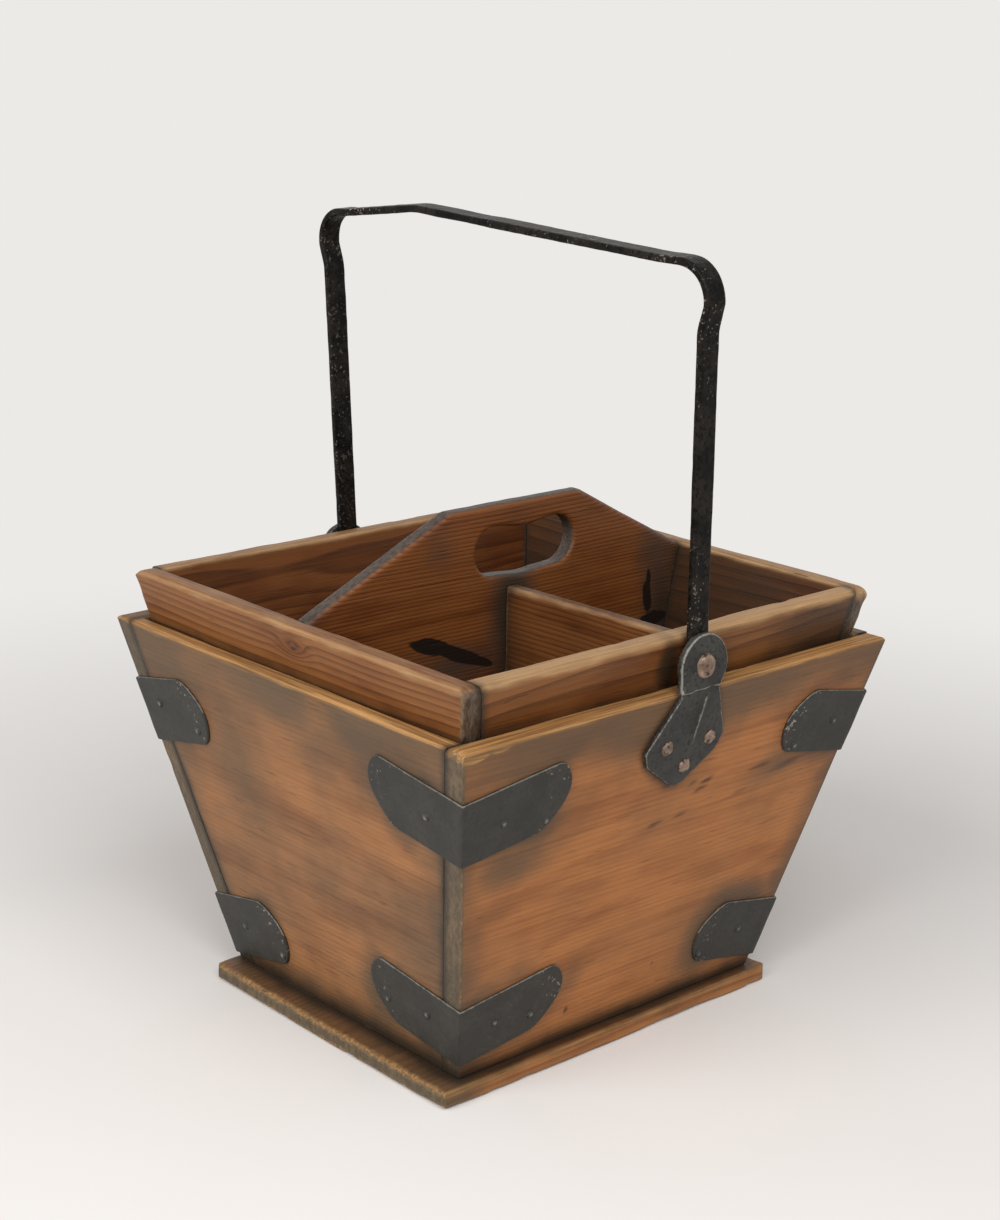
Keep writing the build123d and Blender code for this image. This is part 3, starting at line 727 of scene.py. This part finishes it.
def carvedBoard(name, node, form, along, material, body):
    piece = fineCopy(name, node, form["cell"], form["passes"])
    roughen(piece.data, form["layers"], form["seed"])
    place = pointsOf(piece.data)
    across = [k for k in range(3) if k != along]
    low = np.array(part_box(node)[0])
    grain = np.stack([place[:, along], place[:, across[0]] - low[across[0]],
                      place[:, across[1]] - low[across[1]]], 1) + np.array(form["pith"])
    tree = treeOf([n for n in nodes if n != node and n.startswith("tray_")])
    tagPoints(piece, "grainPlace", grain)
    tagPoints(piece, "worn", sharpness(piece.data, form["cell"], 3))
    # painted shade: the board is darkened where it comes close to other tray parts
    sootAndShade = form["creviceShade"] * nearness(place, tree, form["creviceShadeReach"]) ** 1.5
    sootAndShade = np.maximum(sootAndShade, spotMask(place[:, along], place[:, 2], form["stainsAndShadows"], 2))
    greyTop = smoothStep(np.abs(normalsOf(piece.data)[:, across[0]]), 0.75, 0.35) * form["greyTop"]
    tagPoints(piece, "sootAndShade", sootAndShade)
    tagPoints(piece, "smoke", spotMask(place[:, along], place[:, 2], form["smokes"], 2))
    # black patches painted on the divider's near face
    nearFace = place[:, across[0]] < low[across[0]] + form["blackMarkDepth"]
    tagPoints(piece, "blackMark", nearFace * spotMask(place[:, along], place[:, 2], form["inks"]))
    tagPoints(piece, "endGrain", greyTop)
    tagPoints(piece, "inner", np.full(len(place), form["inner"]))
    dress(piece, material, body, node)


carvedBoard("trayDivider", "tray_divider", dict(dividerForm, inner=0.0, greyTop=1.0), 0, dividerPine,
            "tray")
# the partition is painted in shade all over, as it stands inside the tray
carvedBoard("trayPartition", "tray_partition",
            dict(dividerForm, inner=0.7, greyTop=0.5, pith=(0.2, 0.04, -0.13), seed=52, inks=[], stainsAndShadows=[],
                 smokes=[(0.0, 0.24, 0.2, 0.05, 0.3, 0)]), 1,
            trayPine, "tray")
print("divider and partition carved")


# Iron

ironForm = {
    "bail": {"cell": 0.0006, "passes": 2, "layers": [(40, 0.00024), (180, 0.00012)], "seed": 61, "specks": 0.8},
    "bracket": {"cell": 0.0007, "passes": 2, "layers": [(60, 0.00022), (240, 0.0001)], "seed": 62,
                "crease": 0.0016, "creaseWide": 0.0018, "creaseFoot": 0.0046, "creaseLean": 0.08,
                "creaseStart": 0.018, "creaseFull": 0.034, "creaseMid": 0.025, "creaseEnd": 0.006,
                "lip": 0.0011, "specks": 0.2},
    "rivet": {"cell": 0.0005, "passes": 4, "layers": [(180, 0.00045), (500, 0.00015)], "seed": 63, "specks": 1.0},
}


def forged(name, node, form, material, body):
    piece = fineCopy(name, node, form["cell"], form["passes"])
    if "crease" in form:  # a low ridge down the plate and a ragged step under the ear
        points = pointsOf(piece.data)
        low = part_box(node)[0]
        fade = smoothStep(points[:, 2], low.z + form["creaseStart"], low.z + form["creaseFull"])
        fade = fade * smoothStep(points[:, 2], rimHigh, rimHigh - form["creaseEnd"])
        line = form["creaseFoot"] + form["creaseLean"] * (points[:, 2] - low.z - form["creaseMid"])
        ridge = form["crease"] * np.exp(-((points[:, 0] - line) / form["creaseWide"]) ** 2) * fade
        ragged = points[:, 2] + form["lip"] * fieldNoise(points, 160, form["seed"] + 3)
        step = form["lip"] * smoothStep(ragged, rimHigh - 0.0004, rimHigh + 0.0006)
        sign = 1 if low.y > 0 else -1
        outward = np.clip(sign * normalsOf(piece.data)[:, 1], 0, 1)
        shift = normalsOf(piece.data) * ridge[:, None]
        shift[:, 1] += sign * step * outward
        movePoints(piece.data, points + shift)
    worn = sharpness(piece.data, form["cell"], 1)
    if "crease" in form:
        # painted highlight along the crease ridge, with some wear
        worn = np.maximum(worn, 0.75 * ridge / form["crease"])
    roughen(piece.data, form["layers"], form["seed"])
    tagPoints(piece, "worn", worn)
    patches = np.clip(0.6 + 1.1 * fieldNoise(pointsOf(piece.data), 26, form["seed"] + 7), 0, 1.4)
    tagPoints(piece, "specks", form["specks"] * patches)
    dress(piece, material, body, node)


forged("bailBar", "bail_handle", ironForm["bail"], handleIron, "handle")
for end in ("front", "back"):
    forged(end + "Bracket", "bracket_" + end, ironForm["bracket"], bracketIron, "box")
    forged(end + "PivotRivet", "pivot_rivet_" + end, ironForm["rivet"], rivetSteel, "box")
print("handle, brackets and rivets forged")


# Corner straps: a folded plate drawn on both faces of its corner

strapForm = {
    "thickness": 0.0016, "width": 0.043, "corner": 0.004, "upperDrop": 0.054, "lowerRise": 0.032,
    "fold": 0.0022, "sink": 0.0003, "edgeRound": 0.0008, "dent": 0.00016, "step": 0.002,
    "edgeWearAndHighlight": 0.0011, "lowEdgeWearNoHighlight": 0.55, "foldWear": 0.2, "foldReach": 0.002,
    "speckStart": 0.72, "speckFull": 0.95,
    "up": {"leg": 0.077, "rise": 0.15, "tipBack": 0.005, "roundBack": 0.022},
    "down": {"leg": 0.068, "rise": 0.22, "tipBack": 0.009, "roundBack": 0.016},
    "lowered": {"front_right": 0.003, "back_left": 0.0075},
}
nailForm = {"radius": 0.0028, "height": 0.0011, "rings": 5, "sides": 14, "sink": 0.0006}
nailPlaces = {  # along and across each leg, first those on the front or back face, then those on the end
    ("up", "upper"): (((0.0282, -0.0025), (0.0592, -0.0145)), ((0.0279, 0.0003),)),
    ("up", "lower"): (((0.0246, 0.0005), (0.0527, -0.0079)), ((0.0269, 0.0031), (0.0623, -0.0056))),
    ("down", "upper"): (((0.0228, 0.0008), (0.0529, -0.0165)), ((0.0549, -0.0118), (0.0194, 0.0048))),
    ("down", "lower"): (((0.0284, 0.0012), (0.0600, -0.0145)), ((0.0254, 0.0011), (0.0600, -0.0143))),
}


def strapLegs(sideX, sideY, height):  # corner point, then each face's along, up and outward directions
    corner = Vector((sideX * halfX(height), sideY * halfY(height), height))
    hypX, hypY = math.hypot(1, leanX), math.hypot(1, leanY)
    front = (Vector((-sideX, 0, 0)), Vector((0, sideY * leanY, 1)) / hypY,
             Vector((0, sideY, -leanY)) / hypY, leanX / hypY)
    end = (Vector((0, -sideY, 0)), Vector((sideX * leanX, 0, 1)) / hypX,
           Vector((sideX, 0, -leanX)) / hypX, leanY / hypX)
    return corner, front, end


def legPlace(corner, leg, rise, along, level):
    alongDir, upDir, _, slope = leg
    return corner + alongDir * (along - slope * level) + upDir * (level + rise * along)


def strapReach(level, shape, tip):  # how far a leg reaches at one level across it
    half, bend = strapForm["width"] / 2, strapForm["corner"]
    q = tip * level / half
    front, back = shape["tipBack"], shape["roundBack"]
    reach = shape["leg"] + (back - front) / 2 * q - (back + front) / 2 * q * q
    over = max(0.0, abs(level) - half + bend) / bend
    return reach - bend * (1 - math.sqrt(max(0.0, 1 - over * over)))


def strap(name, where, row, sideX, sideY, seed):
    f = strapForm
    kind = "up" if sideX == sideY else "down"
    tip = 1 if kind == "up" else -1
    shape = f[kind]
    length, incline = shape["leg"], shape["rise"]
    height = rimHigh - f["upperDrop"] if row == "upper" else footHigh + f["lowerRise"]
    height -= f["lowered"].get(where, 0.0)
    corner, front, end = strapLegs(sideX, sideY, height)
    half = f["width"] / 2
    levels = gridLines(f["width"], f["step"], f["edgeRound"]) - half
    near = np.array([0, 0.0006, 0.0013, 0.0022, 0.004]) / length
    shares = np.unique(np.concatenate([near, np.linspace(0.08, 1, 26), 1 - near[:4]]))
    columns = [(front, s, 1) for s in shares[::-1]] + [(end, s, -1) for s in shares[1:]]
    top, under, worn, specks = [], [], [], []
    for leg, s, sign in columns:
        for level in levels:
            reach = strapReach(level, shape, tip)
            along = s * reach
            base = legPlace(corner, leg, incline, along, level)
            turn = 0.5 + 0.5 * sign * min(1.0, along / f["fold"])
            out = (front[2] * turn + end[2] * (1 - turn)).normalized()
            gap = min(half - abs(level), (1 - s) * reach)
            rim = 1 - min(1.0, gap / f["edgeRound"])
            top.append(base + out * f["thickness"] * (1 - 0.6 * rim * rim))
            under.append(base - out * f["sink"])
            # painted highlight with wear: the pale edge line is full on the upper edge, where light catches it,
            # and weaker on the lower edge
            wearAndHighlightShare = 1.0 if level > 0 else f["lowEdgeWearNoHighlight"]
            folded = f["foldWear"] * max(0.0, 1 - along / f["foldReach"])
            worn.append(max(wearAndHighlightShare * max(0.0, 1 - gap / f["edgeWearAndHighlight"]), folded))
            specks.append(0.05 + 0.95 * float(smoothStep(s, f["speckStart"], f["speckFull"])))
    points = np.array([tuple(p) for p in top + under])
    outward = np.array([tuple(t - u) for t, u in zip(top, under)])
    outward = np.concatenate([outward, outward * 0])
    outward /= np.maximum(np.linalg.norm(outward, axis=1, keepdims=True), 1e-9)
    dents = f["dent"] * (fieldNoise(points, 60, seed) + 0.6 * fieldNoise(points, 170, seed + 1))
    points += outward * dents[:, None]
    rows, cols = len(columns), len(levels)
    ids = np.arange(rows * cols).reshape(rows, cols)
    quads = np.stack([ids[:-1, :-1], ids[1:, :-1], ids[1:, 1:], ids[:-1, 1:]], -1).reshape(-1, 4)
    border = np.concatenate([ids[0, :], ids[1:, -1], ids[-1, -2::-1], ids[-2:0:-1, 0]])
    follow = np.roll(border, -1)
    skirt = np.stack([border, follow, follow + rows * cols, border + rows * cols], 1)
    faces = np.concatenate([quads, quads[:, ::-1] + rows * cols, skirt])
    piece = meshPiece(name, points, faces)
    turnOutward(piece.data)
    tagPoints(piece, "worn", np.array(worn + [0.0] * len(under)))
    tagPoints(piece, "specks", np.array(specks + [0.0] * len(under)))
    dress(piece, strapIron, "box", "strap_" + row + "_" + where)
    heads = []
    for leg, places in zip((front, end), nailPlaces[kind, row]):
        for along, level in places:
            heads.append((legPlace(corner, leg, incline, along, level) + leg[2] * f["thickness"], leg[2]))
    return heads


def headsPiece(name, heads, form, material, body, seed):  # domed heads, one closed shell each
    draw = np.random.default_rng(seed)
    points, faces, worn = [], [], []
    for centre, out in heads:
        side = out.orthogonal().normalized()
        other = out.cross(side)
        start = len(points)
        squash = draw.uniform(0.85, 1.15, form["sides"])
        slotTurn = draw.uniform(0, math.pi)
        lift = draw.uniform(0.8, 1.2)
        points.append(centre + out * form["height"] * lift)
        worn.append(1.0)
        for ring in range(1, form["rings"] + 2):
            share = min(1.0, ring / form["rings"])
            dome = math.sqrt(max(0.0, 1 - share ** 2.4)) * form["height"] * lift
            drop = dome if ring <= form["rings"] else -form["sink"]
            for step in range(form["sides"]):
                angle = 2 * math.pi * step / form["sides"]
                reach = form["radius"] * share * (1 + (squash[step] - 1) * share)
                groove = form.get("slot", 0) * (abs(reach * math.sin(angle - slotTurn)) < form.get("slotWide", 0))
                level = drop - (groove if ring < form["rings"] else 0)
                spot = centre + side * (reach * math.cos(angle)) + other * (reach * math.sin(angle))
                points.append(spot + out * level)
                worn.append(1 - 0.6 * share)
        sides, rings = form["sides"], form["rings"] + 1
        for step in range(sides):
            nxt = (step + 1) % sides
            faces.append([start, start + 1 + step, start + 1 + nxt])
            for ring in range(rings - 1):
                a, b = start + 1 + ring * sides, start + 1 + (ring + 1) * sides
                faces.append([a + step, b + step, b + nxt, a + nxt])
        faces.append([start + 1 + (rings - 1) * sides + step for step in range(sides)][::-1])
    piece = meshPiece(name, points, faces)
    turnOutward(piece.data)
    tagPoints(piece, "worn", np.array(worn))
    tagPoints(piece, "specks", np.full(len(worn), 0.6))
    dress(piece, material, body, None)


corners = (("front_left", -1, -1), ("front_right", 1, -1), ("back_left", -1, 1), ("back_right", 1, 1))
for count, (where, sideX, sideY) in enumerate(corners):
    for row in ("upper", "lower"):
        seed = 70 + 2 * count + (row == "lower")
        label = row.capitalize() + where.title().replace("_", "")
        heads = strap("strap" + label, where, row, sideX, sideY, seed)
        headsPiece("nails" + label, heads, nailForm, strapIron, "box", seed)

screwForm = {"radius": 0.0047, "height": 0.0018, "rings": 7, "sides": 20, "sink": 0.0006,
             "slot": 0.0007, "slotWide": 0.0006}
screwPlaces = ((-0.0150, 0.2103), (0.0216, 0.2097), (0.0041, 0.1945))
plateReach = 0.003
for sign, end in ((-1, "front"), (1, "back")):
    out = Vector((0, sign, -leanY)).normalized()
    heads = [(Vector((x, sign * halfY(z), z)) + out * plateReach, out) for x, z in screwPlaces]
    headsPiece(end + "Screws", heads, screwForm, rivetSteel, "box", 90 + sign)
print("straps, nails and screws set")


# Floor, light and camera

studio = {"floorSize": 30.0, "floor": (0.80, 0.78, 0.76, 1), "sky": (0.84, 0.82, 0.80, 1), "ambient": 0.45,
          "fadeStart": 0.3, "fadeFull": 1.1, "aim": (0, 0, 0.2),
          "keyPower": 29.5, "keySize": 1.5, "keyPlace": (-0.55, -1.5, 1.75),
          "fillPower": 35.0, "fillSize": 1.6, "fillPlace": (-1.9, -0.2, 1.2)}
half = studio["floorSize"] / 2
floorPiece = meshPiece("floor", [(-half, -half, 0), (half, -half, 0), (half, half, 0), (-half, half, 0)],
                       [(0, 1, 2, 3)])
floorMaterial, tree = newMaterial("paleFloor")
place = put(tree, "TexCoord").outputs["Object"]
mottle = noise(tree, place, 6.0, 3.0)
tone = tint(tree, mottle, studio["floor"], tuple(0.96 * c for c in studio["floor"][:3]) + (1,))
ground = put(tree, "BsdfDiffuse", {"Color": tone})
reach = put(tree, "VectorMath", {0: place}, operation="LENGTH").outputs["Value"]
fade = calc(tree, "MULTIPLY", raysSeen(tree), ramp(tree, reach, studio["fadeStart"], studio["fadeFull"]))
glow = put(tree, "Emission", {"Color": studio["sky"], "Strength": 1.0})
mixed = put(tree, "MixShader", {0: fade, 1: ground.outputs[0], 2: glow.outputs[0]})
tree.links.new(mixed.outputs[0], put(tree, "OutputMaterial").inputs[0])
floorPiece.data.materials.append(floorMaterial)

world = bpy.data.worlds.new("studio")
scene.world = world
world.use_nodes = True
sky = world.node_tree
sky.nodes.clear()
strength = ramp(sky, raysSeen(sky), 0.0, 1.0, studio["ambient"], 1.0)
shade = put(sky, "Background", {"Color": studio["sky"], "Strength": strength})
sky.links.new(shade.outputs[0], put(sky, "OutputWorld").inputs[0])


def areaLight(name, power, size, place, aim):
    lamp = bpy.data.lights.new(name, "AREA")
    lamp.energy = power
    lamp.size = size
    holder = bpy.data.objects.new(name, lamp)
    holder.location = place
    holder.rotation_euler = (Vector(aim) - Vector(place)).to_track_quat("-Z", "Y").to_euler()
    scene.collection.objects.link(holder)


for name in ("key", "fill"):
    areaLight(name, studio[name + "Power"], studio[name + "Size"], studio[name + "Place"], studio["aim"])

photoView = {"azimuth": -42.06, "elevation": 15.99, "roll": 1.11, "distance": 1.4046, "aimHeight": 0.2541,
             "focalPixels": 2208, "pictureHigh": 1220, "sensor": 36.0}
azimuth, elevation, roll = (math.radians(photoView[k]) for k in ("azimuth", "elevation", "roll"))
back = Vector((math.sin(azimuth) * math.cos(elevation), -math.cos(azimuth) * math.cos(elevation),
               math.sin(elevation)))
levelRight = Vector((math.cos(azimuth), math.sin(azimuth), 0))
levelUp = back.cross(levelRight)
right = levelRight * math.cos(roll) + levelUp * math.sin(roll)
up = levelUp * math.cos(roll) - levelRight * math.sin(roll)
lens = bpy.data.cameras.new("photoCamera")
lens.sensor_width = photoView["sensor"]
lens.lens = photoView["focalPixels"] * photoView["sensor"] / photoView["pictureHigh"]
camera = bpy.data.objects.new("photoCamera", lens)
spot = Vector((0, 0, photoView["aimHeight"])) + back * photoView["distance"]
camera.matrix_world = Matrix.Translation(spot) @ Matrix((right, up, back)).transposed().to_4x4()
scene.collection.objects.link(camera)
scene.camera = camera
scene.view_settings.view_transform = "Standard"
print("floor, light and camera placed")
